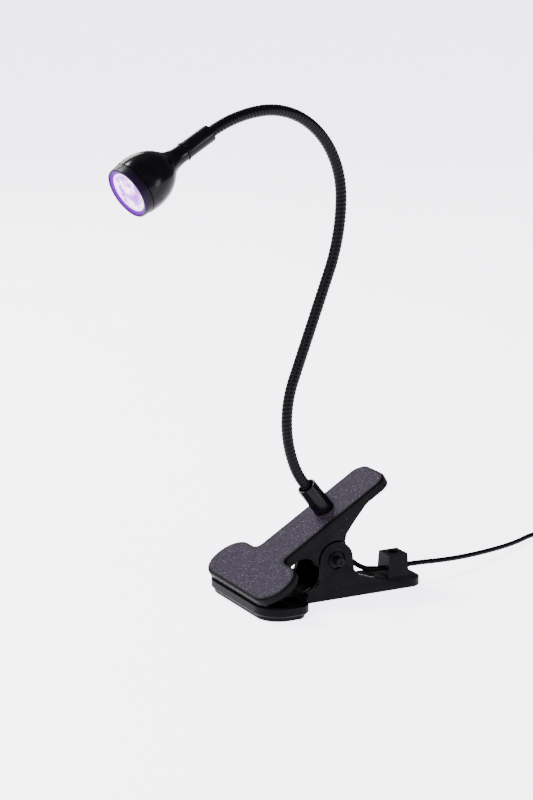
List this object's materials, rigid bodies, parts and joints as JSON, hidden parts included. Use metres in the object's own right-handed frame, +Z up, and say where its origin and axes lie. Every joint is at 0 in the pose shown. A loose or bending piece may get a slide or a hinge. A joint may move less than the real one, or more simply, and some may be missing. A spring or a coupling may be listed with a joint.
{
  "type": "uv curing lamp",
  "caption": "Small UV curing lamp: spring clip base, bendable hose arm, round metal head with a lit violet lens, and a USB lead.",
  "frame": {"origin": "on the base plane, straight under the clip's pivot pin", "axes": "+Z up; +X from the jaw towards the tail where the lead leaves; +Y to the far side, along the pivot pin"},
  "size_m": [0.3545, 0.079, 0.2683],
  "materials": {
    "clip_plastic": "fine spark-eroded texture on top faces, smooth satin sides",
    "pad_rubber": "matt",
    "pin_plastic": "satin",
    "bright_steel": "zinc plated",
    "spring_steel": "drawn wire, oiled",
    "black_metal": "gloss black",
    "hose_skin": "satin black, fine spiral ribs",
    "lead_skin": "satin",
    "lit_lens": "clear, lit violet",
    "reflector_silver": "bright plated",
    "led_yellow": "clear dome",
    "board_white": "white solder mask on an aluminium core",
    "board_green": "green solder mask",
    "raw_aluminium": "machined",
    "tie_fabric": "hook-and-loop strip",
    "switch_plastic": "semi-gloss",
    "contact_brass": "plated",
    "plug_plastic": "satin overmould",
    "plug_metal": "nickel plated",
    "tongue_plastic": "plain"
  },
  "bodies": {
    "lower_half": {"lower_clip": "clip_plastic", "lower_jaw_pad": "pad_rubber", "pivot_pin": "pin_plastic", "pin_rings": "pin_plastic", "torsion_spring": "spring_steel", "cord_clamp_screw": "bright_steel", "lead_loop": "lead_skin", "cord_from_clip": "lead_skin", "cord_to_coil": "lead_skin", "cord_to_plug": "lead_skin", "cord_coil": "lead_skin", "cord_tie": "tie_fabric", "switch_base": "switch_plastic", "switch_cover": "switch_plastic", "switch_contacts": "contact_brass", "plug_body": "plug_plastic", "plug_shell": "plug_metal", "plug_tongue": "tongue_plastic", "plug_contacts": "contact_brass"},
    "upper_half": {"upper_lever": "clip_plastic", "upper_jaw_pad": "pad_rubber", "base_ferrule": "black_metal", "ferrule_washer": "bright_steel", "ferrule_nut": "bright_steel", "hose_lower_end": "hose_skin", "hose_wire_lower_end": "lead_skin"},
    "arm_1": {"hose_link_1": "hose_skin", "hose_wire_link_1": "lead_skin"},
    "arm_2": {"hose_link_2": "hose_skin", "hose_wire_link_2": "lead_skin"},
    "arm_3": {"hose_link_3": "hose_skin", "hose_wire_link_3": "lead_skin"},
    "arm_4": {"hose_link_4": "hose_skin", "hose_wire_link_4": "lead_skin"},
    "arm_5": {"hose_link_5": "hose_skin", "hose_wire_link_5": "lead_skin"},
    "arm_6": {"hose_link_6": "hose_skin", "hose_wire_link_6": "lead_skin"},
    "arm_7": {"hose_link_7": "hose_skin", "hose_wire_link_7": "lead_skin"},
    "head": {"hose_upper_end": "hose_skin", "hose_wire_upper_end": "lead_skin", "head_sleeve": "black_metal", "sleeve_ring": "black_metal", "neck_cone": "black_metal", "neck_ring": "black_metal", "ball_housing": "black_metal", "bezel": "black_metal", "lens": "lit_lens", "lens_gasket": "pad_rubber", "reflector": "reflector_silver", "led_board": "board_white", "led_chip": "led_yellow", "heat_sink": "raw_aluminium", "driver_board": "board_green", "board_screws": "bright_steel", "head_lead": "lead_skin"},
    "switch_knob": {"switch_slider": "switch_plastic"}
  },
  "joints": [
    {"name": "clip_pivot", "type": "hinge", "parent": "lower_half", "child": "upper_half", "pos_m": [0, 0, 0.022], "axis": [0, 1, 0], "range_deg": [0, 40], "stiffness_Nm_per_rad": 0.6, "springref_deg": -40.11, "deforming": ["torsion_spring", "lead_loop"]},
    {"name": "arm_bend_1", "type": "hinge", "parent": "upper_half", "child": "arm_1", "pos_m": [-0.01588, 0, 0.06855], "axis": [0, 1, 0], "range_deg": [-25, 25]},
    {"name": "arm_bend_2", "type": "hinge", "parent": "arm_1", "child": "arm_2", "pos_m": [-0.02228, 0, 0.10476], "axis": [-0.994, 0, 0.1093], "range_deg": [-25, 25]},
    {"name": "arm_bend_3", "type": "hinge", "parent": "arm_2", "child": "arm_3", "pos_m": [-0.01121, 0, 0.14025], "axis": [0, -1, 0], "range_deg": [-25, 25]},
    {"name": "arm_bend_4", "type": "hinge", "parent": "arm_3", "child": "arm_4", "pos_m": [0.00178, 0, 0.1752], "axis": [0.9373, 0, -0.3486], "range_deg": [-25, 25]},
    {"name": "arm_bend_5", "type": "hinge", "parent": "arm_4", "child": "arm_5", "pos_m": [0.00931, 0, 0.21155], "axis": [0, 1, 0], "range_deg": [-25, 25]},
    {"name": "arm_bend_6", "type": "hinge", "parent": "arm_5", "child": "arm_6", "pos_m": [-0.00106, -0.00177, 0.24644], "axis": [-0.7744, -0.131, -0.619], "range_deg": [-25, 25]},
    {"name": "arm_bend_7", "type": "hinge", "parent": "arm_6", "child": "arm_7", "pos_m": [-0.0321, -0.00702, 0.26472], "axis": [0.1668, -0.986, 0], "range_deg": [-25, 25]},
    {"name": "arm_bend_8", "type": "hinge", "parent": "arm_7", "child": "head", "pos_m": [-0.06806, -0.0131, 0.25923], "axis": [-0.378, -0.0639, 0.9236], "range_deg": [-25, 25]},
    {"name": "switch_slide", "type": "slide", "parent": "lower_half", "child": "switch_knob", "axis": [1, 0, 0], "range_m": [0, 0.004]}
  ]
}
